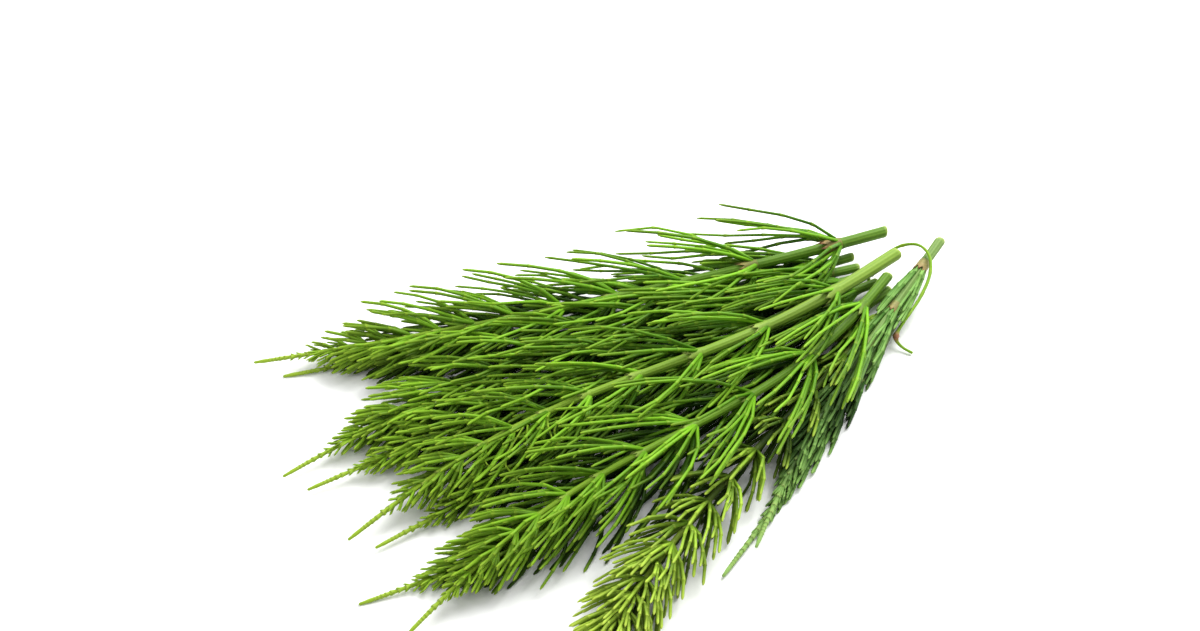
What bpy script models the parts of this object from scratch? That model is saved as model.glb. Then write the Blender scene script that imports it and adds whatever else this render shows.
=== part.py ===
"""A bunch of cut field horsetail lying on a table, bound at the cut ends by one thin branch.

Every leafy shoot is one solid: a hollow jointed stem with a whorl of thin branches at each joint. Sizes are in
millimetres in the tables below and turned to metres where the meshes are made. +X runs along the bunch to the cut
ends, +Z is up, and the table is the plane z = 0.
"""

import math

import bmesh
import bpy
import numpy as np

MM = 0.001

# One row for each shoot: cut end, tip, sideways bow and sway, rise at mid length, radius at the cut end, length of
# the first joint, longest branch, share of the remaining length between two joints, the first joint's turn, how wide
# the branches spread, how much of that is left at the cut end, where the bunch is tied, and how far from the tip the
# branches take to grow long.
SHOOT_FIELDS = (
    "cut", "tip", "bow", "sway", "rise", "radius", "first", "reach", "pitch", "turn", "spread", "neck", "ramp"
)
SHOOTS = {
    "shoot_back_top": ((105, 1.5, 7.9), (-89, 78, 2.2), 11, 0, 7, 1.9, 17, 45, 0.155, 10, 1, 1, 60),
    "shoot_back_low": ((92, 2.4, 3.2), (-84, 69, 0.4), 6, 1, 2.9, 1.5, 10, 42, 0.165, 40, 1, 0.7, 60),
    "shoot_left_upper": ((90, -2.5, 3.2), (-107, 32, 2), -4.5, 1.1, 6.3, 1.5, 9, 42, 0.17, 5, 1, 0.6, 60),
    "shoot_left_lower": ((93, -7, 3.2), (-104, 23, 2.1), 2.4, 0.3, 5.5, 1.5, 12, 42, 0.165, 25, 1, 0.6, 60),
    "shoot_crown": ((100, -9.2, 8.8), (-105, -1, 2.3), 4.5, 5.2, 11.3, 2.2, 30, 45, 0.165, 15, 1, 0.6, 60),
    "shoot_middle_low": ((91, -11.5, 3.2), (-100, -8, 1.8), -1, -2, 3, 1.5, 8, 40, 0.17, 50, 1, 0.6, 60),
    "shoot_front_low": ((92, -16.5, 3.2), (-115, -22, 0.4), 12, -3, 4.5, 1.5, 11, 42, 0.165, 35, 1, 0.5, 60),
    "shoot_front_top": ((92, -14.8, 7.9), (-111, -41, 2.2), 6.8, 6.2, 10.4, 1.8, 18, 45, 0.165, 20, 1, 0.5, 60),
    "shoot_brush": ((91, -21, 3.2), (-92, -91, 3), -4, 2, 4.5, 1.5, 10, 20, 0.12, 0, 1.2, 0.35, 20),
    "shoot_right_top": ((116, -12.7, 8), (-10, -75, 2.4), -3.1, 0.8, 1, 1.8, 11, 32, 0.165, 30, 0.4, 0.5, 60),
    "shoot_right_low": ((86, -26.4, 1.4), (-24, -77, 1), 1.9, 0.1, 0.2, 1.6, 9, 26, 0.165, 45, 0.4, 0.5, 60),
}
ORIGIN = (0.8, -6.5)  # this point of the tables above is the origin of the part

# Joints and branches of every shoot.
TIP_RADIUS = 0.45
STEM_TAPER = 0.9
BARE_TIP = 13.0
LONG_BRANCH = 36.0  # whorls of branches longer than this have five, and of those shorter than the next have three
SHORT_BRANCH = 9.0
STRAIGHT_BRANCH = 13.0
BRANCH_RADIUS = 0.62
BRANCH_WAIST_SHARE = 0.85  # a branch thins to this half-way, and then to a point
BRANCH_RAMP_POWER = 1.3
BRANCH_START = 10.0
NECK_LENGTH = 90.0
LEAVING_ANGLE = 50.0
FINAL_ANGLE = 22.0
PRESSED = 0.55  # the bunch is pressed this flat: the rise of a branch against its sideways reach
ROOT_DEPTH = 0.45  # how far from the stem's middle a branch starts, as a share of the stem's radius
SHEATH_LENGTH = 5.0
SHEATH_FLARE = 1.28
SHEATHED_ABOVE = 110.0  # joints further than this from the tip have a sheath that shows from a step away
PITH_SHARE = 0.5
PITH_DEPTH = 9.0
CLEAR = 0.35
FLOOR_CLEAR = 0.03
SEED = 20260

# The binding branch: one turn round the lower and middle ends, with its loose end down the right-hand side.
BINDING_RADIUS = 0.6
BINDING_ROUTE = (
    (80.8, -40.6, 0.8),
    (79.5, -37.5, 1.4),
    (78.9, -34.9, 2.9),
    (80.4, -33.4, 4.4),
    (85.3, -31.5, 5.7),
    (94.0, -28.2, 7.3),
    (102.0, -23.6, 9.1),
    (106.5, -18.3, 10.9),
    (107.4, -12.4, 10.9),
    (105.2, -7.6, 8.7),
    (101.5, -4.6, 5.3),
    (96.8, -3.9, 2.4),
    (92.0, -6.2, 0.8),
    (89.1, -12.3, 0.8),
    (88.2, -19.5, 0.8),
    (88.6, -24.8, 1.3),
    (89.0, -27.1, 3.0),
    (89.1, -27.8, 5.3),
)


def unit(v):
    """The vector or vectors v at length 1."""
    return v / np.linalg.norm(v, axis=-1, keepdims=True)


def shoot_line(shoot, count=61):
    """Points along a stem, at even steps: a straight line from cut end to tip, bowed and swayed sideways, and
    raised in the middle."""
    cut, tip = np.array(shoot["cut"]), np.array(shoot["tip"])
    t = np.linspace(0.0, 1.0, count)[:, None]
    along = tip - cut
    side = unit(np.array([-along[1], along[0], 0.0]))
    hump = 4.0 * t * (1.0 - t)
    line = cut + along * t + side * (shoot["bow"] * hump + shoot["sway"] * np.sin(2.0 * math.pi * t))
    line[:, 2:] += shoot["rise"] * hump
    line[:, :2] -= ORIGIN
    return line


class Stem:
    """A stem's line, with its place, direction and radius at any distance from the cut end."""

    def __init__(self, shoot):
        self.shoot = shoot
        self.line = shoot_line(shoot)
        steps = np.linalg.norm(np.diff(self.line, axis=0), axis=1)
        self.run = np.concatenate([[0.0], np.cumsum(steps)])
        self.length = self.run[-1]

    def at(self, s):
        """The point at distance s, and the unit vectors along the stem, sideways and upwards."""
        ahead = min(s + 0.5, self.length)
        behind = ahead - 1.0
        point, after, before = (
            np.array([np.interp(x, self.run, self.line[:, i]) for i in range(3)]) for x in (s, ahead, behind)
        )
        along = unit(after - before)
        side = unit(np.cross([0.0, 0.0, 1.0], along))
        return point, along, side, np.cross(along, side)

    def radius(self, s):
        """The stem thins steadily from its cut end to its tip."""
        left = max(self.length - s, 0.0) / self.length
        return TIP_RADIUS + (self.shoot["radius"] - TIP_RADIUS) * left**STEM_TAPER

    def outer(self, s):
        """The radius that other shoots keep clear of: the sheaths stand a little proud of the stem."""
        return self.radius(s) * (SHEATH_FLARE if s > self.shoot["first"] - 1.5 else 1.04)

    def joints(self):
        """Distances of the joints from the cut end: each joint is a fixed share of what is left of the stem."""
        left, found = self.length - self.shoot["first"], []
        while left > BARE_TIP:
            found.append(self.length - left)
            left *= 1.0 - self.shoot["pitch"]
        return found

    def branch_length(self, s):
        """Branches grow longer away from the tip, quickly at first, up to the shoot's own reach."""
        past = max(self.length - s - BRANCH_START, 0.1) / self.shoot["ramp"]
        return max(self.shoot["reach"] * (1.0 - math.exp(-(past**BRANCH_RAMP_POWER))), 1.6)

    def spread(self, s):
        """How wide the branches spread: the bunch is gathered at the cut ends, and that presses them to the stem."""
        neck = self.shoot["neck"]
        return self.shoot["spread"] * (neck + (1.0 - neck) * min(s / NECK_LENGTH, 1.0))


def segment_gaps(a0, a1, b0, b1):
    """The least distance between each segment a0-a1 and each segment b0-b1, as a table."""
    u, v = (a1 - a0)[:, None], (b1 - b0)[None]
    w = a0[:, None] - b0[None]
    a, b, c = (u * u).sum(-1), (u * v).sum(-1), (v * v).sum(-1)
    d, e = (u * w).sum(-1), (v * w).sum(-1)
    wide = a * c - b * b
    s = np.clip(np.where(wide > 1e-9, (b * e - c * d) / np.maximum(wide, 1e-9), 0.0), 0.0, 1.0)
    t = np.clip((b * s + e) / np.maximum(c, 1e-9), 0.0, 1.0)
    s = np.clip((b * t - d) / np.maximum(a, 1e-9), 0.0, 1.0)
    return np.linalg.norm(w + s[..., None] * u - t[..., None] * v, axis=-1)


class Room:
    """What has been placed so far, as round segments, to keep each new branch clear of it."""

    def __init__(self):
        self.starts, self.ends = np.zeros((0, 3)), np.zeros((0, 3))
        self.radii, self.owners = np.zeros(0), np.zeros(0, int)

    def add(self, points, radii, owner):
        """Keeps a line of points, with a radius for each, as the owner's."""
        self.starts = np.vstack([self.starts, points[:-1]])
        self.ends = np.vstack([self.ends, points[1:]])
        self.radii = np.append(self.radii, np.maximum(radii[:-1], radii[1:]))
        self.owners = np.append(self.owners, np.full(len(points) - 1, owner))

    def clear(self, points, radii, owner, shoot):
        """True if the line is clear of everything but its own stem, kept as owner -1 - shoot, and its own whorl."""
        reach = np.linalg.norm(points[-1] - points[0]) / 2 + 8.0
        middle = (points[0] + points[-1]) / 2
        near = np.linalg.norm((self.starts + self.ends) / 2 - middle, axis=1) < reach + 6.0
        near &= (self.owners != owner) & (self.owners != -1 - shoot)
        if not near.any():
            return True
        gaps = segment_gaps(points[:-1], points[1:], self.starts[near], self.ends[near])
        wanted = np.maximum(radii[:-1], radii[1:])[:, None] + self.radii[near][None] + CLEAR
        return bool((gaps > wanted).all())


def branch_line(stem, s, turn, length, leaving, final, pieces):
    """A branch: it leaves its joint at one angle to the stem and bends steadily along it, and lies on the table
    where it would reach below."""
    point, along, side, up = stem.at(s)
    outward = math.cos(turn) * side + math.sin(turn) * up
    lean = outward * np.array([1.0, 1.0, PRESSED])
    places = np.linspace(0.0, 1.0, 13)
    angles = np.radians(final + (leaving - final) * (1.0 - places) ** 1.6)
    steps = unit(np.cos(angles)[:, None] * along + np.sin(angles)[:, None] * lean)
    fine = np.vstack([np.zeros(3), np.cumsum((steps[1:] + steps[:-1]) / 2, axis=0) * length / 12])
    fine += point + outward * stem.radius(s) * ROOT_DEPTH
    picks = np.round(np.linspace(0.0, 12.0, pieces + 1)).astype(int)
    line = fine[picks]
    line[1:, 2] = np.maximum(line[1:, 2], BRANCH_RADIUS / 2 + FLOOR_CLEAR)
    return line


# Ways to bend a branch clear: shares of its leaving angle and its length, and degrees of turn round the stem.
BENDS = [
    (share, size, turn)
    for size in (1.0, 0.8, 0.6, 0.42)
    for share in (1.0, 0.8, 0.62, 0.45, 1.2)
    for turn in (0.0, 11.0, -11.0, 22.0, -22.0)
]


def grow(stem, number, room, s, whorl, count, phase, draw):
    """One whorl: its branches at even turns, each bent clear of what is already there."""
    grown = []
    length, spread = stem.branch_length(s), stem.spread(s)
    pieces = 1 if length < STRAIGHT_BRANCH else 2
    radii = BRANCH_RADIUS * (np.array([1.0, 0.0]) if pieces == 1 else np.array([1.0, BRANCH_WAIST_SHARE, 0.0]))
    for k in range(count):
        wobble, stretch, lift = draw.uniform(-8.0, 8.0), draw.uniform(0.85, 1.08), draw.uniform(0.85, 1.15)
        for share, size, turn in BENDS:
            azimuth = math.radians(phase + 360.0 * k / count + wobble + turn)
            leaving, final = LEAVING_ANGLE * lift * spread * share, FINAL_ANGLE * spread * share
            line = branch_line(stem, s, azimuth, length * stretch * size, leaving, final, pieces)
            if room.clear(line, radii, whorl, number):
                room.add(line, radii, whorl)
                grown.append((line, radii))
                break
    return grown


def grow_all(stems):
    """Every shoot's branches, whorl by whorl from the cut ends outwards, so that the crowded neck is filled first."""
    room = Room()
    for number, stem in enumerate(stems):
        places = np.linspace(0.0, stem.length, 40)
        points = np.array([stem.at(s)[0] for s in places])
        room.add(points, np.array([stem.outer(s) for s in places]), -1 - number)
    line = binding_line()
    room.add(line, np.full(len(line), BINDING_RADIUS), -100)
    whorls = sorted(
        (s / stem.length, number, i, s) for number, stem in enumerate(stems) for i, s in enumerate(stem.joints())
    )
    branches = [[] for _ in stems]
    for order, (_, number, i, s) in enumerate(whorls):
        stem = stems[number]
        draw = np.random.RandomState(SEED + 100 * number + i)
        length = stem.branch_length(s)
        count = 5 if length > LONG_BRANCH else 3 if length < SHORT_BRANCH else 4
        phase = stem.shoot["turn"] + i * 180.0 / count + draw.uniform(-10.0, 10.0)
        branches[number] += grow(stem, number, room, s, order, count, phase, draw)
    return branches


def binding_line():
    """The binding branch's route, read from a smooth curve through its own points."""
    route = np.array(BINDING_ROUTE)
    route[:, :2] -= ORIGIN
    ends = np.vstack([2 * route[0] - route[1], route, 2 * route[-1] - route[-2]])
    found = []
    for a, b, c, d in zip(ends, ends[1:], ends[2:], ends[3:]):
        for t in np.arange(0.0, 1.0, 1.0 / 3.0):
            bend = (2 * a - 5 * b + 4 * c - d) * t**2 + (3 * b - a - 3 * c + d) * t**3
            found.append(0.5 * (2 * b + (c - a) * t + bend))
    return np.array(found + [route[-1]])


def three_sided():
    """The outline that gives a curve three flat sides."""
    data = bpy.data.curves.new("three_sided", "CURVE")
    data.dimensions = "2D"
    spline = data.splines.new("POLY")
    spline.points.add(2)
    for point, turn in zip(spline.points, (90.0, 210.0, 330.0)):
        point.co = (math.cos(math.radians(turn)) * MM, math.sin(math.radians(turn)) * MM, 0.0, 1.0)
    spline.use_cyclic_u = True
    return data


def tube(name, points, radii, outline=None):
    """A closed tube mesh along points in millimetres, with a radius at each: it has the outline's sides, or six."""
    data = bpy.data.curves.new(name, "CURVE")
    data.dimensions = "3D"
    data.twist_mode = "Z_UP"
    data.use_fill_caps = True
    spline = data.splines.new("POLY")
    spline.points.add(len(points) - 1)
    for place, point, radius in zip(spline.points, points, radii):
        place.co = (*(point * MM), 1.0)
        place.radius = radius
    if outline:
        data.bevel_mode = "OBJECT"
        data.bevel_object = outline
    else:
        data.bevel_depth = MM
        data.bevel_resolution = 1
    curve = bpy.data.objects.new(name, data)
    bpy.context.scene.collection.objects.link(curve)
    graph = bpy.context.evaluated_depsgraph_get()
    mesh = bpy.data.meshes.new_from_object(curve.evaluated_get(graph))
    bpy.data.objects.remove(curve)
    shape = bmesh.new()
    shape.from_mesh(mesh)
    bmesh.ops.remove_doubles(shape, verts=shape.verts, dist=1e-6)
    bmesh.ops.recalc_face_normals(shape, faces=shape.faces)
    shape.to_mesh(mesh)
    shape.free()
    return bpy.data.objects.new(name, mesh)


def boolean(target, operation, collection):
    """Joins or cuts the target by everything in the collection, and removes the collection's objects."""
    modifier = target.modifiers.new(operation.lower(), "BOOLEAN")
    modifier.operation = operation
    modifier.operand_type = "COLLECTION"
    modifier.collection = collection
    modifier.solver = "MANIFOLD"
    graph = bpy.context.evaluated_depsgraph_get()
    mesh = bpy.data.meshes.new_from_object(target.evaluated_get(graph))
    target.modifiers.remove(modifier)
    target.data = mesh
    for obj in list(collection.objects):
        bpy.data.objects.remove(obj)


def stem_mesh(name, stem):
    """The stem: a six-sided tube, with a flared sheath above each of its lower joints."""
    places = [(s, 1.0) for s in np.linspace(0.0, stem.length, 9)]
    for s in stem.joints():
        if stem.length - s > SHEATHED_ABOVE:
            places = [p for p in places if not s - 3.0 < p[0] < s + SHEATH_LENGTH + 3.0]
            places += [(s, 1.0), (s + SHEATH_LENGTH, SHEATH_FLARE), (s + SHEATH_LENGTH + 0.3, 0.98)]
    places.sort()
    points = np.array([stem.at(s)[0] for s, _ in places])
    radii = np.array([stem.radius(s) * share for s, share in places])
    return tube(name, points, radii)


def below_table():
    """A block that fills the space under the table, to leave a flat spot where a shoot rests."""
    shape = bmesh.new()
    bmesh.ops.create_cube(shape, size=1.0)
    bmesh.ops.scale(shape, vec=(400 * MM, 400 * MM, 10 * MM), verts=shape.verts)
    bmesh.ops.translate(shape, vec=(0.0, 0.0, -5 * MM), verts=shape.verts)
    mesh = bpy.data.meshes.new("below_table")
    shape.to_mesh(mesh)
    shape.free()
    return bpy.data.objects.new("below_table", mesh)


def material(name, colour, roughness):
    """A plain finish in the part's own colour."""
    made = bpy.data.materials.new(name)
    made.use_nodes = True
    shader = made.node_tree.nodes["Principled BSDF"]
    shader.inputs["Base Color"].default_value = (*colour, 1.0)
    shader.inputs["Roughness"].default_value = roughness
    shader.inputs["Metallic"].default_value = 0.0
    return made


def make_shoot(name, stem, branches, tools, joined, finish):
    """One leafy shoot: stem and branches fused, hollow at the cut end, and flat where it would sink in the table."""
    shoot = stem_mesh(name, stem)
    joined.objects.link(shoot)
    for i, (line, radii) in enumerate(branches):
        tools.objects.link(tube(f"branch_{i}", line, radii, bpy.data.objects["three_sided"]))
    boolean(shoot, "UNION", tools)
    point, along, _, _ = stem.at(0.0)
    hole = stem.radius(0.0) * PITH_SHARE
    pith = tube("pith", np.array([point - along * 2.0, point + along * PITH_DEPTH]), [hole, hole])
    tools.objects.link(pith)
    tools.objects.link(below_table())
    boolean(shoot, "DIFFERENCE", tools)
    shoot.data.materials.clear()
    shoot.data.materials.append(finish)


def main():
    for obj in list(bpy.data.objects):
        bpy.data.objects.remove(obj)
    scene = bpy.context.scene.collection
    joined = bpy.data.collections.new("horsetail_bunch")
    tools = bpy.data.collections.new("cutters")
    scene.children.link(joined)
    scene.children.link(tools)
    outline = bpy.data.objects.new("three_sided", three_sided())
    outline.hide_render = True
    scene.objects.link(outline)
    green = material("horsetail_green", (0.10, 0.28, 0.03), 0.5)
    stems = [Stem(dict(zip(SHOOT_FIELDS, row))) for row in SHOOTS.values()]
    for name, stem, branches in zip(SHOOTS, stems, grow_all(stems)):
        make_shoot(name, stem, branches, tools, joined, green)
    line = binding_line()
    binding = tube("binding_branch", line, np.full(len(line), BINDING_RADIUS))
    binding.data.materials.append(material("binding_green", (0.16, 0.22, 0.05), 0.55))
    joined.objects.link(binding)
    bpy.data.objects.remove(outline)


main()
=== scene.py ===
"""A bunch of cut field horsetail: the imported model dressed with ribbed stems, toothed sheaths and branches.

Shoots are measured in millimetres, with +X towards the cut ends and +Z up from the table, and turned to
metres where a mesh is made.
"""

import math

import bpy
import numpy as np
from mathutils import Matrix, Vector


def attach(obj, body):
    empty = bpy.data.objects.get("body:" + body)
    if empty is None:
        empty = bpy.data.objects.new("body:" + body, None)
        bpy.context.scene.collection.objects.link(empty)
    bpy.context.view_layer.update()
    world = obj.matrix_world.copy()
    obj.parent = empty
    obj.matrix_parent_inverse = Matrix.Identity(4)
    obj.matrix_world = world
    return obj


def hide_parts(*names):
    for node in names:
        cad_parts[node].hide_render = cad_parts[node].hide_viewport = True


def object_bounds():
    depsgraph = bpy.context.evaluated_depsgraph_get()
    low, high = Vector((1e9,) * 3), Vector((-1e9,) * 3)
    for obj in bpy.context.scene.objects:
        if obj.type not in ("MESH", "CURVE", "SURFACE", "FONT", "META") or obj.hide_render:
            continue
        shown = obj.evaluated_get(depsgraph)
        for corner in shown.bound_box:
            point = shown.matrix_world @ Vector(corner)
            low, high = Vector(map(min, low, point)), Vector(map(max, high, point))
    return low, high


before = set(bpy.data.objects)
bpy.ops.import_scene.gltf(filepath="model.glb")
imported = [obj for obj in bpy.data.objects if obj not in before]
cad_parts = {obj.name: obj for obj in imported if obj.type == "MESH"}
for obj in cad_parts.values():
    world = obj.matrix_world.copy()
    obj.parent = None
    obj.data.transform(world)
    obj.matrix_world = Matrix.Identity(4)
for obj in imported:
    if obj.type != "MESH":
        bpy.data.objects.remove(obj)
packed_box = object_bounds()

# The stage. A wide plain white table is lit by a wide soft lamp overhead and a weaker one from the left,
# and a white room fills the shadows. The camera looks down at half a right angle, along the fan of the
# shoots.
MM = 0.001
CAMERA_PLACE = (-370.1, -476.9, 641.1)
CAMERA_TARGET = (11.2, 38.5, 0.0)
LENS = 85.0
SENSOR_WIDTH = 36.0
NEAREST_SEEN = 0.01
BUNCH_MIDDLE = (0.0, 0.0, 0.0)
ROOM_LIGHT = 0.56
TABLE_HALF = 30.0
TABLE_WHITE = (0.9, 0.9, 0.9, 1.0)
TABLE_ROUGHNESS = 0.7


def look_along(start, end):
    """The turn of a camera or a lamp at start that faces end, with its top side up."""
    return (Vector(end) - Vector(start)).to_track_quat("-Z", "Y").to_euler()


def lamp(name, place, size, power):
    """A square soft lamp that faces the bunch, with its place and size in metres."""
    light = bpy.data.lights.new(name, "AREA")
    light.size = size
    light.energy = power
    made = bpy.data.objects.new(name, light)
    made.location = place
    made.rotation_euler = look_along(place, BUNCH_MIDDLE)
    bpy.context.scene.collection.objects.link(made)


camera = bpy.data.objects.new("camera", bpy.data.cameras.new("camera"))
camera.data.lens = LENS
camera.data.sensor_width = SENSOR_WIDTH
camera.data.clip_start = NEAREST_SEEN
camera.location = [c * MM for c in CAMERA_PLACE]
camera.rotation_euler = look_along(camera.location, [c * MM for c in CAMERA_TARGET])
bpy.context.scene.collection.objects.link(camera)
bpy.context.scene.camera = camera
lamp("key", place=(0.56, 0.20, 0.66), size=0.75, power=16.5)
lamp("left_fill", place=(-0.75, 0.10, 0.60), size=0.6, power=2.5)
room_light = bpy.data.worlds.new("room")
room_light.use_nodes = True
backdrop = room_light.node_tree.nodes["Background"]
backdrop.inputs["Color"].default_value = (1.0, 1.0, 1.0, 1.0)
backdrop.inputs["Strength"].default_value = ROOM_LIGHT
bpy.context.scene.world = room_light
bpy.context.scene.view_settings.view_transform = "Standard"

white = bpy.data.materials.new("white_table")
white.use_nodes = True
matt = white.node_tree.nodes["Principled BSDF"]
matt.inputs["Base Color"].default_value = TABLE_WHITE
matt.inputs["Roughness"].default_value = TABLE_ROUGHNESS
table_mesh = bpy.data.meshes.new("table")
table_corners = [(x * TABLE_HALF, y * TABLE_HALF, 0.0) for x, y in ((-1, -1), (1, -1), (1, 1), (-1, 1))]
table_mesh.from_pydata(table_corners, [], [(0, 1, 2, 3)])
table_mesh.materials.append(white)
table = bpy.data.objects.new("table", table_mesh)
bpy.context.scene.collection.objects.link(table)


# How a shoot grows. A stem is one smooth line from its cut end to its tip, thinning steadily, with joints
# that come closer together towards the tip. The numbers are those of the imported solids, so each shoot keeps
# its place. They are measured on the table, where the middle of the bunch is at ORIGIN.
# Each row gives the two ends, the bow, sway and rise of the line between them, the radius at the cut end,
# the first joint's distance from it, the longest branch's length, and the share of what is left that each
# length between joints takes. Then come the first whorl's turn in degrees, how wide the branches spread as a
# share of the usual angles, the share of that by the cut ends, and how far from the tip they gain length.
SHOOT_FIELDS = (
    "cut", "tip", "bow", "sway", "rise", "radius", "first",
    "reach", "pitch", "turn", "spread", "neck", "ramp",
)
SHOOTS = {
    "back_top": ((105, 1.5, 7.9), (-89, 78, 2.2), 11, 0, 7, 1.9, 17, 45, 0.155, 10, 1, 1, 60),
    "back_low": ((92, 2.4, 3.2), (-84, 69, 0.4), 6, 1, 2.9, 1.5, 10, 42, 0.165, 40, 1, 0.7, 60),
    "left_upper": ((90, -2.5, 3.2), (-107, 32, 2), -4.5, 1.1, 6.3, 1.5, 9, 42, 0.17, 5, 1, 0.6, 60),
    "left_lower": ((93, -7, 3.2), (-104, 23, 2.1), 2.4, 0.3, 5.5, 1.5, 12, 42, 0.165, 25, 1, 0.6, 60),
    "crown": ((100, -9.2, 8.8), (-105, -1, 2.3), 4.5, 5.2, 11.3, 2.2, 30, 45, 0.165, 15, 1, 0.6, 60),
    "middle_low": ((91, -11.5, 3.2), (-100, -8, 1.8), -1, -2, 3, 1.5, 8, 40, 0.17, 50, 1, 0.6, 60),
    "front_low": ((92, -16.5, 3.2), (-115, -22, 0.4), 12, -3, 4.5, 1.5, 11, 42, 0.165, 35, 1, 0.5, 60),
    "front_top": ((92, -14.8, 7.9), (-111, -41, 2.2), 6.8, 6.2, 10.4, 1.8, 18, 45, 0.165, 20, 1, 0.5, 60),
    "brush": ((91, -21, 3.2), (-92, -91, 3), -4, 2, 4.5, 1.5, 10, 20, 0.12, 0, 1.2, 0.35, 20),
    "right_top": ((116, -12.7, 8), (-10, -75, 2.4), -3.1, 0.8, 1, 1.8, 11, 32, 0.165, 30, 0.4, 0.5, 60),
    "right_low": ((86, -26.4, 1.4), (-24, -77, 1), 1.9, 0.1, 0.2, 1.6, 9, 26, 0.165, 45, 0.4, 0.5, 60),
}
ORIGIN = (0.8, -6.5)
LINE_POINTS = 61
TIP_RADIUS = 0.45
STEM_TAPER = 0.9
SHEATH_FLARE = 1.28
BARE_FLARE = 1.04
BRANCH_START = 10.0
BRANCH_RAMP_POWER = 1.3
SHORTEST_BRANCH = 1.6
NECK_LENGTH = 90.0
# These stems lie on top and show between their branches: no filling branch leaves the joint where the sine
# of its turn from level is above this.
OPEN_ABOVE = {"crown": 0.75, "back_top": 0.9, "front_top": 0.92, "right_top": 0.9}


def unit(v):
    """The vector or vectors v at length 1."""
    return v / np.linalg.norm(v, axis=-1, keepdims=True)


class Stem:
    """A stem's line, with its place, direction and radius at any distances from the cut end."""

    def __init__(self, shoot, open_above):
        """A straight line from cut end to tip, bowed to one side, swayed to both and raised in the middle."""
        self.shoot = shoot
        self.open_above = open_above
        cut, tip = np.array(shoot["cut"]), np.array(shoot["tip"])
        t = np.linspace(0.0, 1.0, LINE_POINTS)[:, None]
        along = tip - cut
        side = unit(np.array([-along[1], along[0], 0.0]))
        hump = 4.0 * t * (1.0 - t)
        line = cut + along * t + side * (shoot["bow"] * hump + shoot["sway"] * np.sin(2.0 * math.pi * t))
        line[:, 2:] += shoot["rise"] * hump
        line[:, :2] -= ORIGIN
        self.line = line
        self.run = np.concatenate([[0.0], np.cumsum(np.linalg.norm(np.diff(line, axis=0), axis=1))])
        self.length = self.run[-1]

    def at(self, s):
        """The points at distances s, and the unit vectors along the stem, sideways and upwards there."""
        ahead = np.minimum(s + 0.5, self.length)
        point, after, before = (
            np.stack([np.interp(x, self.run, self.line[:, i]) for i in range(3)], -1)
            for x in (s, ahead, ahead - 1.0)
        )
        along = unit(after - before)
        side = unit(np.cross([0.0, 0.0, 1.0], along))
        return point, along, side, np.cross(along, side)

    def radius(self, s):
        """The stem thins steadily from its cut end to its tip."""
        left = np.maximum(self.length - s, 0.0) / self.length
        return TIP_RADIUS + (self.shoot["radius"] - TIP_RADIUS) * left**STEM_TAPER

    def outer(self, s):
        """The radius that other shoots keep clear of: the sheaths stand a little proud of the stem."""
        return self.radius(s) * np.where(s > self.shoot["first"] - 1.5, SHEATH_FLARE, BARE_FLARE)

    def joints(self, bare_tip):
        """Distances of the joints from the cut end: each is the same share further along what is left."""
        left, found = self.length - self.shoot["first"], []
        while left > bare_tip:
            found.append(self.length - left)
            left *= 1.0 - self.shoot["pitch"]
        return found

    def branch_length(self, s):
        """Branches grow longer away from the tip, quickly at first, up to the shoot's own reach."""
        past = max(self.length - s - BRANCH_START, 0.1) / self.shoot["ramp"]
        return max(self.shoot["reach"] * (1.0 - math.exp(-(past**BRANCH_RAMP_POWER))), SHORTEST_BRANCH)

    def spread(self, s):
        """How wide the branches spread: the bunch is gathered at the cut ends, which presses them to the
        stem."""
        neck = self.shoot["neck"]
        return self.shoot["spread"] * (neck + (1.0 - neck) * min(s / NECK_LENGTH, 1.0))


stems = [
    Stem(dict(zip(SHOOT_FIELDS, row)), OPEN_ABOVE.get(name, math.inf)) for name, row in SHOOTS.items()
]


# The binding branch: one thin branch wound once round the cut ends, under the middle ones and over the
# right-hand ones, with its loose end down the right-hand side. It is the bunch's only tie, and its route is
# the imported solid's.
BINDING_RADIUS = 0.6
BINDING_ROUTE = (
    (80.8, -40.6, 0.8),
    (79.5, -37.5, 1.4),
    (78.9, -34.9, 2.9),
    (80.4, -33.4, 4.4),
    (85.3, -31.5, 5.7),
    (94.0, -28.2, 7.3),
    (102.0, -23.6, 9.1),
    (106.5, -18.3, 10.9),
    (107.4, -12.4, 10.9),
    (105.2, -7.6, 8.7),
    (101.5, -4.6, 5.3),
    (96.8, -3.9, 2.4),
    (92.0, -6.2, 0.8),
    (89.1, -12.3, 0.8),
    (88.2, -19.5, 0.8),
    (88.6, -24.8, 1.3),
    (89.0, -27.1, 3.0),
    (89.1, -27.8, 5.3),
)


def smooth_route(route, steps):
    """A smooth curve through a route's points: between two points it is the cubic that also heeds their
    neighbours."""
    route = np.array(route)
    route[:, :2] -= ORIGIN
    ends = np.vstack([2 * route[0] - route[1], route, 2 * route[-1] - route[-2]])
    t = np.arange(steps)[:, None] / steps
    found = []
    for a, b, c, d in zip(ends, ends[1:], ends[2:], ends[3:]):
        bend = (2 * a - 5 * b + 4 * c - d) * t**2 + (3 * b - a - 3 * c + d) * t**3
        found.append(0.5 * (2 * b + (c - a) * t + bend))
    return np.vstack([*found, route[-1:]])


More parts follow.
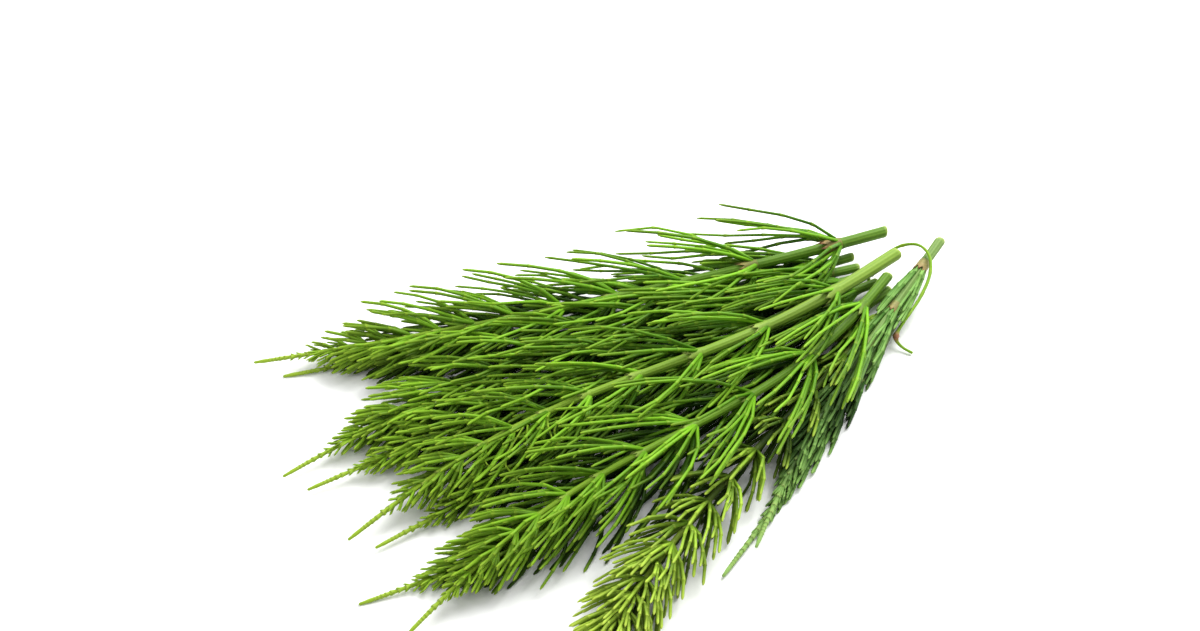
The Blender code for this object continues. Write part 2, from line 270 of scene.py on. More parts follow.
# The branches. Each joint carries a whorl of thin branches that leave it steeply and bend along the stem.
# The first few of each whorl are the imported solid's, bent clear of the other shoots by the same rule and
# the same draws, and the rest of the real plant's branches fill the whorl between them, clear of the other
# stems. The last BARE_TIP of a stem has only buds.
LONG_BRANCH = 36.0
SHORT_BRANCH = 9.0
STRAIGHT_BRANCH = 13.0
BARE_TIP = 13.0
BRANCH_STEPS = 12
BRANCH_RADIUS = 0.62
BRANCH_WAIST_SHARE = 0.85
LEAVING_ANGLE = 50.0
FINAL_ANGLE = 22.0
BEND_POWER = 1.6
PRESSED = 0.55
ROOT_DEPTH = 0.45
CLEAR = 0.35
FLOOR_CLEAR = 0.03
WOBBLE = 8.0
STRETCH = (0.85, 1.08)
LIFT = (0.85, 1.15)
PHASE_WOBBLE = 10.0
SEED = 20260
# A branch that isn't clear is tried again with each of these: the shares of its angles and of its length
# that are left, and its further turn round the stem.
BENDS = [
    (share, size, turn)
    for size in (1.0, 0.8, 0.6, 0.42)
    for share in (1.0, 0.8, 0.62, 0.45, 1.2)
    for turn in (0.0, 11.0, -11.0, 22.0, -22.0)
]
ROOM_STEM_POINTS = 40
ROOM_BINDING_STEPS = 3
ROOM_BINDING_OWNER = -100
ROOM_SEARCH = 14.0
FILLING_STRETCH = 1.6
FILLING_LIFT = 2.4
FILLING_TOP = packed_box[1][2] / MM - BRANCH_RADIUS


def segment_gaps(a0, a1, b0, b1):
    """The least distance between each segment a0-a1 and each segment b0-b1, as a table. The nearest places
    are those of the endless lines, each held within its segment's ends."""
    u, v = (a1 - a0)[:, None], (b1 - b0)[None]
    w = a0[:, None] - b0[None]
    a, b, c = (u * u).sum(-1), (u * v).sum(-1), (v * v).sum(-1)
    d, e = (u * w).sum(-1), (v * w).sum(-1)
    wide = a * c - b * b
    s = np.clip(np.where(wide > 1e-9, (b * e - c * d) / np.maximum(wide, 1e-9), 0.0), 0.0, 1.0)
    t = np.clip((b * s + e) / np.maximum(c, 1e-9), 0.0, 1.0)
    s = np.clip((b * t - d) / np.maximum(a, 1e-9), 0.0, 1.0)
    return np.linalg.norm(w + s[..., None] * u - t[..., None] * v, axis=-1)


class Room:
    """What has been placed so far, as round segments, to keep each new branch clear of it."""

    def __init__(self):
        """The room starts with every stem and the binding branch in it. Stem n is kept as owner -1 - n."""
        self.starts, self.ends = np.zeros((0, 3)), np.zeros((0, 3))
        self.radii, self.owners = np.zeros(0), np.zeros(0, int)
        for number, stem in enumerate(stems):
            places = np.linspace(0.0, stem.length, ROOM_STEM_POINTS)
            self.add(stem.at(places)[0], stem.outer(places), -1 - number)
        line = smooth_route(BINDING_ROUTE, ROOM_BINDING_STEPS)
        self.add(line, np.full(len(line), BINDING_RADIUS), ROOM_BINDING_OWNER)

    def add(self, points, radii, owner):
        """Keeps a line of points, with a radius for each, as the owner's."""
        self.starts = np.vstack([self.starts, points[:-1]])
        self.ends = np.vstack([self.ends, points[1:]])
        self.radii = np.append(self.radii, np.maximum(radii[:-1], radii[1:]))
        self.owners = np.append(self.owners, np.full(len(points) - 1, owner))

    def clear(self, points, radii, whorl, number):
        """True if the line is clear of everything but its own stem, of this number, and its own whorl."""
        reach = np.linalg.norm(points[-1] - points[0]) / 2 + ROOM_SEARCH
        middle = (points[0] + points[-1]) / 2
        near = np.linalg.norm((self.starts + self.ends) / 2 - middle, axis=1) < reach
        near &= (self.owners != whorl) & (self.owners != -1 - number)
        if not near.any():
            return True
        gaps = segment_gaps(points[:-1], points[1:], self.starts[near], self.ends[near])
        wanted = np.maximum(radii[:-1], radii[1:])[:, None] + self.radii[near][None] + CLEAR
        return bool((gaps > wanted).all())


def branch_line(stem, s, turn, length, leaving, final, pieces=BRANCH_STEPS):
    """A branch's points, and the direction across its bend. It leaves its joint at one angle to the stem,
    bends steadily along it to another, and lies on the table where it would reach below."""
    point, along, side, up = stem.at(s)
    outward = math.cos(turn) * side + math.sin(turn) * up
    lean = outward * np.array([1.0, 1.0, PRESSED])
    places = np.linspace(0.0, 1.0, BRANCH_STEPS + 1)
    angles = np.radians(final + (leaving - final) * (1.0 - places) ** BEND_POWER)
    steps = unit(np.cos(angles)[:, None] * along + np.sin(angles)[:, None] * lean)
    middles = (steps[1:] + steps[:-1]) / 2
    fine = np.vstack([np.zeros(3), np.cumsum(middles, axis=0) * length / BRANCH_STEPS])
    fine += point + outward * stem.radius(s) * ROOT_DEPTH
    line = fine[np.round(np.linspace(0.0, BRANCH_STEPS, pieces + 1)).astype(int)]
    line[1:, 2] = np.maximum(line[1:, 2], BRANCH_RADIUS / 2 + FLOOR_CLEAR)
    return line, unit(np.cross(along, lean))


def grow(number, room, s, whorl, count, phase, draw, kept):
    """One whorl: its branches at even turns, each bent clear of what is in the room. The first few are kept
    there. The filling ones vary more, leave the top of some stems open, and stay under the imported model's
    top."""
    stem = stems[number]
    grown = []
    length, spread = stem.branch_length(s), stem.spread(s)
    pieces = 1 if length < STRAIGHT_BRANCH else 2
    radii = BRANCH_RADIUS * np.array([1.0, 0.0] if pieces == 1 else [1.0, BRANCH_WAIST_SHARE, 0.0])
    for k in range(count):
        even = phase + 360.0 * k / count
        wobble = draw.uniform(-WOBBLE, WOBBLE)
        stretch = draw.uniform(*STRETCH)
        lift = draw.uniform(*LIFT)
        if not kept:
            stretch = 1.0 + FILLING_STRETCH * (stretch - 1.0)
            lift = 1.0 + FILLING_LIFT * (lift - 1.0)
            if math.sin(math.radians(even)) > stem.open_above:
                continue
        for share, size, turn in BENDS:
            azimuth = math.radians(even + wobble + turn)
            leaving, final = LEAVING_ANGLE * lift * spread * share, FINAL_ANGLE * spread * share
            way = (stem, s, azimuth, length * stretch * size, leaving, final)
            rough, _ = branch_line(*way, pieces)
            line, across = branch_line(*way)
            low_enough = kept or line[:, 2].max() < FILLING_TOP
            if low_enough and room.clear(rough, radii, whorl, number):
                if kept:
                    room.add(rough, radii, whorl)
                grown.append((line, across, length * stretch * size, s / stem.length))
                break
    return grown


def filling(length):
    """How many branches fill a whorl whose branches have this length."""
    return 17 if length > 11.0 else 9 if length > 5.0 else 4


# Each branch is kept with its line, the direction across its bend, its length and how far along its stem it
# is.
branches = [[] for _ in stems]
room = Room()
whorls = sorted(
    (s / stem.length, number, i, s)
    for number, stem in enumerate(stems)
    for i, s in enumerate(stem.joints(BARE_TIP))
)
unfilled = []
for whorl, (_, number, i, s) in enumerate(whorls):
    draw = np.random.RandomState(SEED + 100 * number + i)
    length = stems[number].branch_length(s)
    count = 5 if length > LONG_BRANCH else 3 if length < SHORT_BRANCH else 4
    phase = stems[number].shoot["turn"] + i * 180.0 / count + draw.uniform(-PHASE_WOBBLE, PHASE_WOBBLE)
    branches[number] += grow(number, room, s, whorl, count, phase, draw, kept=True)
    unfilled.append((number, s, whorl, phase + 180.0 / count, draw))
stems_only = Room()
for number, s, whorl, phase, draw in unfilled:
    count = filling(stems[number].branch_length(s))
    branches[number] += grow(number, stems_only, s, whorl, count, phase, draw, kept=False)


# The painted shade inside the bunch. Branches that lie under others are painted a darker green: painted
# shade for the light the branches above them keep off. Over a grid of square cells this keeps the height of
# the topmost branch, evened out with the cells around it.
CELL = 3.0
SHADE_FROM = 2.0
SHADE_FULL = 11.0
AROUND = (-1, 0, 1)
foliage = np.concatenate([branch[0] for grown in branches for branch in grown])
shade_corner = foliage[:, :2].min(0) - 2.0 * CELL
spots = ((foliage[:, :2] - shade_corner) / CELL).astype(int)
top = np.zeros(spots.max(0) + 3)
np.maximum.at(top, (spots[:, 0], spots[:, 1]), foliage[:, 2])
wide, high = np.array(top.shape) - 1
top[1:-1, 1:-1] = sum(top[1 + i : wide + i, 1 + j : high + j] for i in AROUND for j in AROUND) / 9.0


def painted_shade_at(points):
    """How much painted shade points get, by how far they lie under the topmost branches: from 0 near the
    top to 1 well below it.
    """
    cells = ((points[:, :2] - shade_corner) / CELL).astype(int)
    cells = np.clip(cells, 0, np.array(top.shape) - 1)
    below = top[cells[:, 0], cells[:, 1]] - points[:, 2]
    return np.clip((below - SHADE_FROM) / (SHADE_FULL - SHADE_FROM), 0.0, 1.0)


# Skins. Every stem and branch is a tube: rings of points carried along a line, closed at both ends. Its
# finish reads the traits at its points: a branch's own tone, how far along the plant it is, its joints,
# ribs, stem and browning, and how far it lies down in the bunch, which sets its painted shade.
TRAITS = ("tone", "along", "joint", "rib", "stem", "brown")
# The trait of painted shade: how far a point lies under the topmost branches, which darkens its colour.
PAINTED_SHADE_TRAIT = "painted_shade"
ON_TABLE = 0.02


def rings_round(centres, right, up, radius, angle):
    """Rings of points: out from each centre by the radius times the angle's cosine to the right, and by the
    radius times its sine upwards."""
    rings = centres + right * (radius * np.cos(angle))[..., None]
    return rings + up * (radius * np.sin(angle))[..., None]


def tube_faces(count, rings, sides):
    """The faces of a number of tubes, each with its rings in order and then its two end points: squares
    between rings, and a fan of triangles on each end, all facing outwards."""
    start = np.arange(count)[:, None, None] * (rings * sides + 2)
    low = start + np.arange(rings - 1)[None, :, None] * sides
    j = np.arange(sides)[None, None, :]
    k = (j + 1) % sides
    walls = np.stack([low + j, low + k, low + k + sides, low + j + sides], -1).reshape(-1, 4)
    first, last = start + rings * sides, start + (rings - 1) * sides
    near = np.stack(np.broadcast_arrays(first, start + k, start + j), -1).reshape(-1, 3)
    far = np.stack(np.broadcast_arrays(first + 1, last + j, last + k), -1).reshape(-1, 3)
    return walls.tolist() + near.tolist() + far.tolist()


def skin(parts, name):
    """One mesh object from parts, each its points in millimetres, its faces and its traits at each
    point."""
    faces, shift = [], 0
    for points, part_faces, _ in parts:
        faces += [[c + shift for c in face] for face in part_faces]
        shift += len(points)
    verts = np.vstack([points for points, _, _ in parts])
    mesh = bpy.data.meshes.new(name)
    mesh.from_pydata(verts * MM, [], faces)
    found = {
        trait: np.concatenate([np.broadcast_to(traits[trait], len(points)) for points, _, traits in parts])
        for trait in TRAITS
    }
    # Painted shade: points lying further under the topmost branches are painted darker.
    found[PAINTED_SHADE_TRAIT] = painted_shade_at(verts)
    for trait, values in found.items():
        mesh.attributes.new(trait, "FLOAT", "POINT").data.foreach_set("value", values.astype(np.float32))
    mesh.shade_smooth()
    made = bpy.data.objects.new(name, mesh)
    bpy.context.scene.collection.objects.link(made)
    return made


# A branch's skin. A branch is a chain of four-ridged lengths, each ending in a little swelling with four
# teeth that the next length comes out of. It is green, paler at the teeth, and hardly thicker than a
# millimetre.
RIDGES = 4
BRANCH_SIDES = 8
RIDGE_DEPTH = 0.2
BRANCH_TAPER = 0.25
BRANCH_SWAY = 0.035
BRANCH_TOOTH = 0.55
BRANCH_POINT = 0.35
POINT_SHARE = 0.55
LINK_RINGS = (
    (0.05, 0.98, 0.0, 0.0),
    (0.88, 0.98, 0.0, 0.15),
    (1.0, 1.22, 1.0, 1.0),
)


def branch_skin(grown, links, draw):
    """The tubes of branches with the same number of links. Each link goes through the same rings, given as
    the share of its length, the share of the radius, how far the teeth reach and how much of a joint's
    colour it has. Along the whole branch the radius falls by a quarter, and round it the radius swings four
    times by the ridges. The line sways once and twice over its length, and short branches are thinner."""
    count = len(grown)
    lines, across, lengths, places = (np.array(column) for column in zip(*grown))
    across = across[:, None]
    steps = np.linspace(0.0, 1.0, BRANCH_STEPS + 1)[None, :, None]
    sway = draw.uniform(-BRANCH_SWAY, BRANCH_SWAY, (2, count, 1, 1)) * lengths[:, None, None]
    lines = lines + across * (sway[0] * np.sin(math.pi * steps) + sway[1] * np.sin(2.0 * math.pi * steps))
    share, fat, reach, joint = (np.tile(column, links) for column in np.array(LINK_RINGS).T)
    t = (np.repeat(np.arange(links), len(LINK_RINGS)) + share) / links
    t[0] = 0.0
    t[-1], fat[-1], reach[-1] = 1.0, POINT_SHARE, 0.0
    where = t * BRANCH_STEPS
    low = np.clip(where.astype(int), 0, BRANCH_STEPS - 1)
    centres = lines[:, low] + (lines[:, low + 1] - lines[:, low]) * (where - low)[None, :, None]
    heads = unit(lines[:, low + 1] - lines[:, low])
    ups = unit(np.cross(heads, across))
    sides = np.cross(ups, heads)
    angle = np.arange(BRANCH_SIDES) * 2.0 * math.pi / BRANCH_SIDES
    ridge = np.cos(RIDGES * angle)
    radius = BRANCH_RADIUS * (1.0 - BRANCH_TAPER * t) * fat
    radius = radius[:, None] * (1.0 - RIDGE_DEPTH * (0.5 - 0.5 * ridge)[None])
    radius = np.clip(0.5 + 0.04 * lengths, 0.0, 1.04)[:, None, None] * radius[None]
    teeth = reach[:, None] * BRANCH_TOOTH * (0.5 + 0.5 * ridge)[None]
    toothed = centres[:, :, None] + heads[:, :, None] * teeth[None, :, :, None]
    rings = rings_round(toothed, sides[:, :, None], ups[:, :, None], radius, angle)
    ends = np.stack([centres[:, 0], centres[:, -1] + heads[:, -1] * BRANCH_POINT], 1)
    verts = np.concatenate([rings.reshape(count, -1, 3), ends], 1).reshape(-1, 3)
    verts[:, 2] = np.maximum(verts[:, 2], ON_TABLE)
    points_each = len(t) * BRANCH_SIDES + 2

    def over_points(ring_values, end_values):
        """Values for each ring and its two ends, spread over every branch's points."""
        ringed = np.broadcast_to(ring_values, (len(t), BRANCH_SIDES)).ravel()
        return np.tile(np.concatenate([ringed, end_values]), count)

    traits = {
        "tone": np.repeat(draw.uniform(0.0, 1.0, count), points_each),
        "along": 0.35 * over_points(t[:, None] ** 2, [0.0, 1.0]) + 0.65 * np.repeat(places**4, points_each),
        "joint": over_points(joint[:, None], [0.0, 1.0]),
        "rib": over_points(ridge[None], [0.0, 0.0]),
        "stem": 0.0,
        "brown": 0.0,
    }
    return verts, tube_faces(count, len(t), BRANCH_SIDES), traits


# A stem's skin. A stem is a hollow tube with ten low ribs and a slight swelling at each joint. Its cut end
# is a pale ring of pith round the hollow, and its tip is a spike of young joints, each with buds pressed
# along it.
RIBS = 10
STEM_SIDES = 40
RIB_DEPTH = 0.035
HOLLOW_SHARE = 0.52
HOLLOW_DEPTH = 8.0
RIM_DEPTH = 0.35
STEM_RINGS = 84
JOINT_SWELL = 0.12
JOINT_WIDTH = 0.8
SPIKE_END = 2.2
STEM_POINT = 0.5


def stem_skin(stem, draw):
    """The stem's tube, from the floor of the hollow out to the rim and along to the tip. Round it the
    radius swings ten times by the ribs, which fade at the joints and the rim, and it swells by an eighth at
    each joint. The cut is a little slanted."""
    joints = np.array(stem.joints(SPIKE_END))
    near_joints = (joints[:, None] + np.array([-1.4, -0.7, 0.0, 0.7])).ravel()
    run = np.concatenate([np.linspace(1.2, stem.length - 0.3, STEM_RINGS), near_joints])
    run = np.unique(np.round(run, 2))
    run = run[(run > 1.0) & (run < stem.length)]
    swell = np.exp(-(((run[:, None] - joints) / JOINT_WIDTH) ** 2)).sum(1)
    rim_share = np.array([HOLLOW_SHARE * 0.9, HOLLOW_SHARE, HOLLOW_SHARE * 1.08, 0.95, 1.0])
    s = np.concatenate([[HOLLOW_DEPTH, RIM_DEPTH, 0.0, 0.0, 0.3], run])
    share = np.concatenate([rim_share, 1.0 + JOINT_SWELL * swell])
    ribbed = np.concatenate([[0.0, 0.0, 0.0, 0.3, 0.8], 1.0 - 0.8 * np.minimum(swell, 1.0)])
    pith = np.concatenate([[0.9, 1.0, 1.0, 1.0, 0.5], np.zeros(len(run))])
    angle = np.arange(STEM_SIDES) * 2.0 * math.pi / STEM_SIDES
    rib = np.cos(RIBS * angle)
    point, along, side, up = stem.at(s)
    radius = (stem.radius(s) * share)[:, None] * (1.0 - RIB_DEPTH * ribbed[:, None] * (1.0 - rib)[None])
    slant = draw.uniform(0.15, 0.35) * np.cos(angle + draw.uniform(0.0, 6.0)) * stem.shoot["radius"]
    rings = rings_round(point[:, None], side[:, None], -up[:, None], radius, angle)
    rings = rings + along[:, None] * (slant[None] * (s < 1.0)[:, None])[..., None]
    rings = rings[:, ::-1]
    ends = np.array([point[0], point[-1] + along[-1] * STEM_POINT])
    verts = np.concatenate([rings.reshape(-1, 3), ends])
    verts[:, 2] = np.maximum(verts[:, 2], 0.0)

    def over_points(values, first, last):
        """Values for each ring, spread round it, and the values of the two ends."""
        return np.concatenate([np.broadcast_to(values, (len(s), STEM_SIDES)).ravel(), [first, last]])

    traits = {
        "tone": 0.5,
        "along": over_points((s / stem.length)[:, None], 0.0, 1.0),
        "joint": over_points(pith[:, None], 1.0, 0.0),
        "rib": over_points(rib[::-1][None] * ribbed[:, None], 0.0, 0.0),
        "stem": 1.0,
        "brown": 0.0,
    }
    return verts, tube_faces(1, len(s), STEM_SIDES), traits


# The sheaths. Each joint of the stem is wrapped in a short tight tube that ends in pointed teeth. The
# lowest ones have gone brown on some of the shoots.
TEETH = 8
TOOTH_POWER = 1.4
TOOTH_SHARE = 0.45
TOOTH_FLARE = 0.04
SHEATH_SIDES = 32
SHEATH_RINGS = (
    (-0.06, 0.98, 0.0),
    (0.05, 1.16, 0.0),
    (0.5, 1.2, 0.0),
    (0.86, 1.26, 0.1),
    (1.0, 1.3, 1.0),
    (0.98, 1.22, 1.0),
    (0.6, 1.1, 0.0),
)


def sheath_skin(stem, s, length, brown):
    """A sheath as one closed band: up the outside to the teeth, and down the inside. Each ring has its
    share of the length, its share of the stem's radius and how far the teeth reach there. The height of the
    rim swings eight times round it to sharp points."""
    share, fat, reach = np.array(SHEATH_RINGS).T
    angle = np.arange(SHEATH_SIDES) * 2.0 * math.pi / SHEATH_SIDES
    tooth = np.abs((angle * TEETH / (2.0 * math.pi) + 0.5) % 1.0 - 0.5) * 2.0
    tooth = (1.0 - tooth) ** TOOTH_POWER
    point, along, side, up = stem.at(np.array([s]))
    height = length * share[:, None] + reach[:, None] * (tooth - 0.4)[None] * length * TOOTH_SHARE
    radius = stem.radius(s) * fat[:, None] * (1.0 + TOOTH_FLARE * reach[:, None] * tooth[None])
    rings = rings_round(point + along * height[..., None], side, -up, radius, angle)
    rings = rings[:, ::-1]
    verts = rings.reshape(-1, 3)
    verts[:, 2] = np.maximum(verts[:, 2], 0.0)
    i = np.arange(len(share))[:, None] * SHEATH_SIDES
    n = (np.arange(len(share))[:, None] + 1) % len(share) * SHEATH_SIDES
    j = np.arange(SHEATH_SIDES)[None]
    k = (j + 1) % SHEATH_SIDES
    faces = np.stack([i + j, i + k, n + k, n + j], -1).reshape(-1, 4).tolist()
    pale = np.clip(share, 0.0, 1.0)[:, None] * (0.35 + 0.65 * reach[:, None] * tooth[None])
    traits = {
        "tone": 0.5,
        "along": s / stem.length,
        "joint": pale[:, ::-1].ravel(),
        "rib": np.broadcast_to((2.0 * tooth - 1.0)[::-1][None], (len(share), SHEATH_SIDES)).ravel(),
        "stem": 1.0,
        "brown": brown,
    }
    return verts, faces, traits


# The plant's finishes. Green branches differ a little from each other and grow yellower to their tips,
# stems are paler with darker grooves, teeth and cut ends are pale, and what lies far down in the bunch
# gets painted shade, darkest of all.


class Socket:
    """A socket of a material's nodes. Sums on it add the Math nodes that work them out."""

    def __init__(self, tree, link=None):
        self.tree, self.link = tree, link

    def node(self, kind, settings, inputs, output=0):
        """A node of a kind: its settings are made first, then the values or links of its sockets. What
        comes back is its output of the given name or number."""
        made = self.tree.nodes.new(kind)
        for key, value in settings.items():
            setattr(made, key, value)
        for key, value in inputs.items():
            if isinstance(value, Socket):
                self.tree.links.new(value.link, made.inputs[key])
            else:
                made.inputs[key].default_value = value
        return Socket(self.tree, made.outputs[output])

    def math(self, operation, *others):
        """One Math node on this number and others."""
        return self.node("ShaderNodeMath", {"operation": operation}, dict(enumerate([self, *others])))

    def __add__(self, other):
        return self.math("ADD", other)

    def __mul__(self, other):
        return self.math("MULTIPLY", other)

    def __sub__(self, other):
        return self.math("SUBTRACT", other)

    def __rsub__(self, other):
        return (self * -1.0).math("ADD", other)

    __radd__ = __add__
    __rmul__ = __mul__

    def kept(self):
        """The number held between 0 and 1."""
        return self.math("MAXIMUM", 0.0).math("MINIMUM", 1.0)

    def mix(self, low, high):
        """The colour between low and high, with this number as the share of high."""
        return self.node("ShaderNodeMix", {"data_type": "RGBA"}, {0: self, 6: low, 7: high}, 2)


def rgb(red, green, blue):
    """A colour given in the 0 to 255 of a paint chart, as the shader wants it."""
    chart = np.array([red, green, blue]) / 255.0
    return (*np.where(chart < 0.04045, chart / 12.92, ((chart + 0.055) / 1.055) ** 2.4).tolist(), 1.0)


PITH_COLOUR = rgb(168, 184, 100)
RUST_DARK = rgb(94, 52, 28)
RUST_LIGHT = rgb(182, 132, 102)
# Painted shade: the near-black green that what lies far down in the bunch is mixed towards, and how far.
PAINTED_SHADE_COLOUR = rgb(0, 30, 0)
PAINTED_SHADE_SHARE = 0.88
SPECULAR_LEVEL = 0.13


def plant_skin(name, dark, bright, young, stalk, groove):
    """The finish of a shoot: dark and bright are the two ends of its branches' greens, young is its tips,
    and stalk and groove are its stem's ribs and the furrows between them."""
    material = bpy.data.materials.new(name)
    material.use_nodes = True
    nodes = Socket(material.node_tree)
    tone, along, joint, rib, stem, brown, painted_shade = (
        nodes.node("ShaderNodeAttribute", {"attribute_name": trait}, {}, "Fac") for trait in (*TRAITS, PAINTED_SHADE_TRAIT)
    )
    place = nodes.node("ShaderNodeTexCoord", {}, {}, "Object")
    patches = nodes.node("ShaderNodeTexNoise", {}, {"Vector": place, "Scale": 90.0, "Detail": 3.0})
    grain = nodes.node("ShaderNodeTexNoise", {}, {"Vector": place, "Scale": 1400.0, "Detail": 2.0})
    green = (tone * 0.9 + patches * 0.8 - 0.35).kept().mix(dark, bright)
    green = (along * 0.9 + joint * 0.4).kept().mix(green, young)
    green = (rib * 0.12 + 0.12).kept().mix(green, bright)
    bare = (rib * 0.25 + 0.55 + (grain - 0.5) * 0.5).kept().mix(groove, stalk)
    bare = (along * 1.5 - 0.35).kept().mix(bare, green)
    bare = (joint * 1.1 - 0.1).kept().mix(bare, PITH_COLOUR)
    colour = stem.mix(green, bare)
    rusty = grain.mix(RUST_DARK, RUST_LIGHT)
    colour = (brown * (0.35 + joint * 0.9)).kept().mix(colour, rusty)
    # Painted shade: the further a point lies under the topmost branches, the nearer its colour goes to
    # near-black green.
    colour = (painted_shade * PAINTED_SHADE_SHARE).mix(colour, PAINTED_SHADE_COLOUR)
    roughness = grain * 0.2 + 0.42
    bump = nodes.node("ShaderNodeBump", {}, {"Strength": 0.25, "Distance": 0.0002, "Height": grain})
    shader = material.node_tree.nodes["Principled BSDF"]
    shader.inputs["Specular IOR Level"].default_value = SPECULAR_LEVEL
    for value, socket in ((colour, "Base Color"), (roughness, "Roughness"), (bump, "Normal")):
        material.node_tree.links.new(value.link, shader.inputs[socket])
    return material


FRESH_BRANCHES = {"dark": rgb(12, 72, 0), "bright": rgb(118, 178, 32), "young": rgb(150, 174, 52)}
FRESH = plant_skin("fresh_green", **FRESH_BRANCHES, stalk=rgb(98, 134, 40), groove=rgb(58, 94, 16))
CROWN = plant_skin("crown_green", **FRESH_BRANCHES, stalk=rgb(132, 160, 64), groove=rgb(96, 128, 40))
PALE = plant_skin(
    "pale_green",
    dark=rgb(54, 106, 8),
    bright=rgb(152, 194, 54),
    young=rgb(184, 198, 80),
    stalk=rgb(130, 154, 58),
    groove=rgb(84, 114, 30),
)
BLUISH = plant_skin(
    "bluish_green",
    dark=rgb(40, 96, 24),
    bright=rgb(126, 172, 84),
    young=rgb(136, 170, 88),
    stalk=rgb(126, 152, 84),
    groove=rgb(78, 112, 48),
)


# Stray branches. A few thin pale ones have come loose from the crown shoot's joints and curl over the
# foliage, each through points of its own on the table's measure. They are as thin as a branch of
# STRAY_LENGTH.
STRAY_LENGTH = 2.0
STRAY_PLACE = 0.96
STRAY_ACROSS = (0.1, 0.2, 1.0)
STRAYS = (
    (
        (-42.0, -2.3, 13.7),
        (-45.1, -4.7, 15.0),
        (-50.1, -4.0, 15.0),
        (-55.6, -2.9, 14.0),
        (-59.9, -4.8, 13.0),
        (-59.5, -8.6, 12.0),
    ),
    (
        (-42.0, -2.6, 13.4),
        (-46.0, -5.9, 15.0),
        (-51.2, -8.9, 15.0),
        (-55.0, -10.8, 14.0),
        (-56.3, -14.2, 13.0),
        (-55.6, -19.3, 11.5),
    ),
    (
        (-41.0, -2.9, 13.4),
        (-44.3, -7.3, 15.0),
        (-45.9, -9.4, 14.6),
        (-45.4, -11.9, 13.4),
        (-47.8, -13.6, 12.6),
    ),
    (
        (-33.0, -3.8, 14.9),
        (-37.0, -7.3, 16.4),
        (-39.3, -12.7, 15.6),
        (-40.4, -16.8, 14.6),
    ),
    (
        (-25.0, -5.2, 15.6),
        (-29.0, -7.7, 17.0),
        (-33.3, -9.5, 16.8),
        (-37.6, -11.9, 15.8),
        (-40.0, -17.6, 14.5),
    ),
)
strays = []
for points in STRAYS:
    route = smooth_route(points, 8)
    run = np.linspace(0.0, len(route) - 1.0, BRANCH_STEPS + 1)
    line = np.stack([np.interp(run, np.arange(len(route)), route[:, i]) for i in range(3)], -1)
    strays.append((line, unit(np.array(STRAY_ACROSS)), STRAY_LENGTH, STRAY_PLACE))


# The leafy shoots. Each is put together from its stem, its sheaths, its branches and the buds of its spike,
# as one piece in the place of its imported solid. Nearer the tip than SHEATH_END the joints are bare.
SHOOT_SEED = SEED + 7000
FINISHES = {"crown": CROWN, "brush": PALE, "right_top": BLUISH, "right_low": BLUISH}
BROWN_SHEATHS = {"back_top": (1.0, 0.7), "right_top": (1.0, 0.9, 0.3), "left_upper": (0.5, 0.2)}
SHEATH_BROWN = 0.05
SHEATH_END = 5.0
BUD_END = 6.0
BUDS = 4
BUD_LEAVING = 34.0
BUD_FINAL = 8.0
MOST_LINKS = 4


def links_of(length):
    """How many links a branch of this length is made of."""
    return MOST_LINKS if length > 26.0 else 3 if length > 15.0 else 2 if length > 6.0 else 1


for number, (name, stem) in enumerate(zip(SHOOTS, stems)):
    draw = np.random.RandomState(SHOOT_SEED + number)
    parts = [stem_skin(stem, draw)]
    browning = BROWN_SHEATHS.get(name, ())
    for i, s in enumerate(stem.joints(SPIKE_END)):
        left = stem.length - s
        if left > SHEATH_END:
            length = min(0.9 + left * 0.03, 0.6 * left * stem.shoot["pitch"])
            parts.append(sheath_skin(stem, s, length, browning[i] if i < len(browning) else SHEATH_BROWN))
        if BUD_END < left <= BARE_TIP:
            for k in range(BUDS):
                turn = draw.uniform(0.0, 0.4) + k * math.pi / 2.0 + s
                size = 0.4 + left * 0.1
                line, across = branch_line(stem, s, turn, size, BUD_LEAVING, BUD_FINAL)
                branches[number].append((line, across, size, s / stem.length))
    for links in range(1, MOST_LINKS + 1):
        grown = [branch for branch in branches[number] if links_of(branch[2]) == links]
        if grown:
            parts.append(branch_skin(grown, links, draw))
    if name == "crown":
        parts.append(branch_skin(strays, MOST_LINKS, draw))
    piece = skin(parts, "horsetail_" + name)
    piece.data.materials.append(FINISHES.get(name, FRESH))
    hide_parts("shoot_" + name)
    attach(piece, "root")


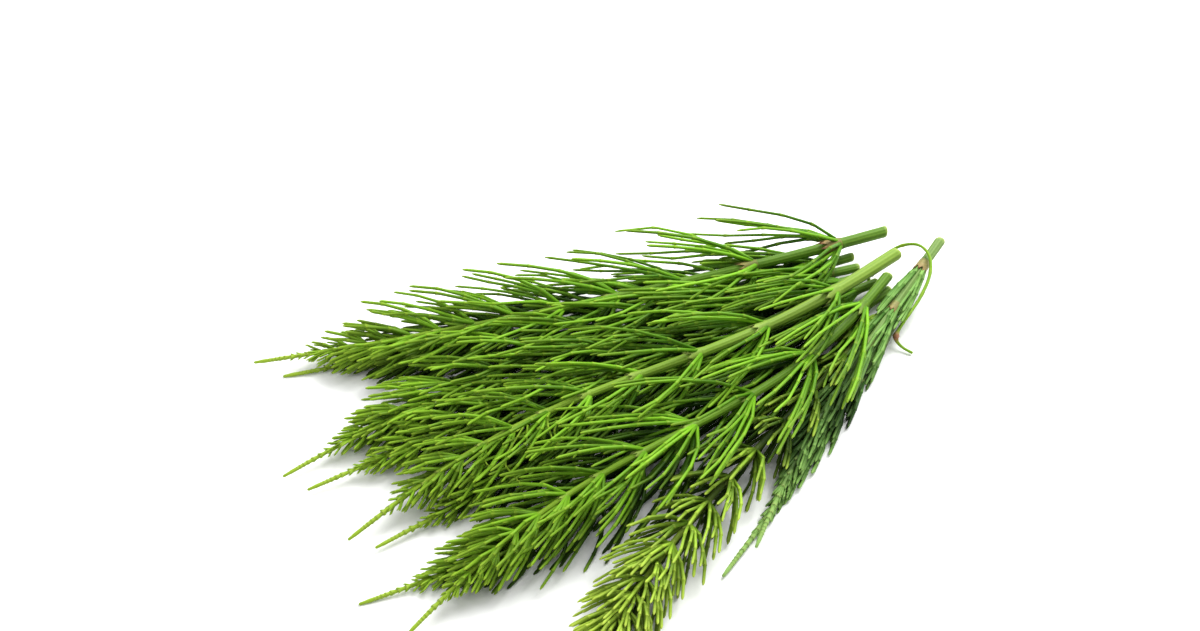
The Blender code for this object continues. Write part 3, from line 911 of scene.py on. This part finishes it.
# The binding branch's skin: the same four-ridged branch, longer and a little duller. Where it bends back on
# itself, at the kink, it has a swollen pinkish joint.
KINK = (79.4, -34.2, 3.6)
KINK_WIDTH = 1.4
KINK_SWELL = 0.9
BINDING_STEPS = 6
BINDING_RINGS = 97
BINDING_LINK = 9.0
BINDING_WAIST = 0.9
BINDING_UP = (0.3, 0.1, 1.0)
BINDING_POINT = 0.3
route = smooth_route(BINDING_ROUTE, BINDING_STEPS)
run = np.concatenate([[0.0], np.cumsum(np.linalg.norm(np.diff(route, axis=0), axis=1))])
even = np.linspace(0.0, run[-1], BINDING_RINGS)
route = np.stack([np.interp(even, run, route[:, i]) for i in range(3)], -1)
heads = unit(np.gradient(route, axis=0))
across = unit(np.cross(heads, np.array(BINDING_UP)))
ups = np.cross(across, heads)
angle = np.arange(BRANCH_SIDES) * 2.0 * math.pi / BRANCH_SIDES
ridge = np.cos(RIDGES * angle)
beat = (even / BINDING_LINK) % 1.0
off_kink = np.linalg.norm(route - (np.array(KINK) - [*ORIGIN, 0.0]), axis=1)
kink = np.exp(-((off_kink / KINK_WIDTH) ** 2))
fat = BINDING_WAIST + 0.2 * np.exp(-(((beat - 0.9) / 0.07) ** 2)) + KINK_SWELL * kink
radius = BINDING_RADIUS * fat[:, None] * (1.0 - RIDGE_DEPTH * (0.5 - 0.5 * ridge)[None])
rings = rings_round(route[:, None], across[:, None], -ups[:, None], radius, angle)[:, ::-1]
ends = [route[:1] - heads[:1] * BINDING_POINT, route[-1:] + heads[-1:] * BINDING_POINT]
verts = np.concatenate([rings.reshape(-1, 3), *ends])
verts[:, 2] = np.maximum(verts[:, 2], ON_TABLE)
swollen = np.minimum((fat - BINDING_WAIST) * 3.0, 1.0)
binding_traits = {
    "tone": 0.45,
    "along": 0.35,
    "joint": np.concatenate([np.repeat(swollen, BRANCH_SIDES), [1.0, 0.5]]),
    "rib": np.concatenate([np.tile(ridge, len(route)), [0.0, 0.0]]),
    "stem": 0.0,
    "brown": np.concatenate([np.repeat(0.1 + 0.9 * kink, BRANCH_SIDES), [0.2, 0.2]]),
}
binding = skin([(verts, tube_faces(1, len(route), BRANCH_SIDES), binding_traits)], "binding_strand")
binding.data.materials.append(FRESH)
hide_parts("binding_branch")
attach(binding, "root")
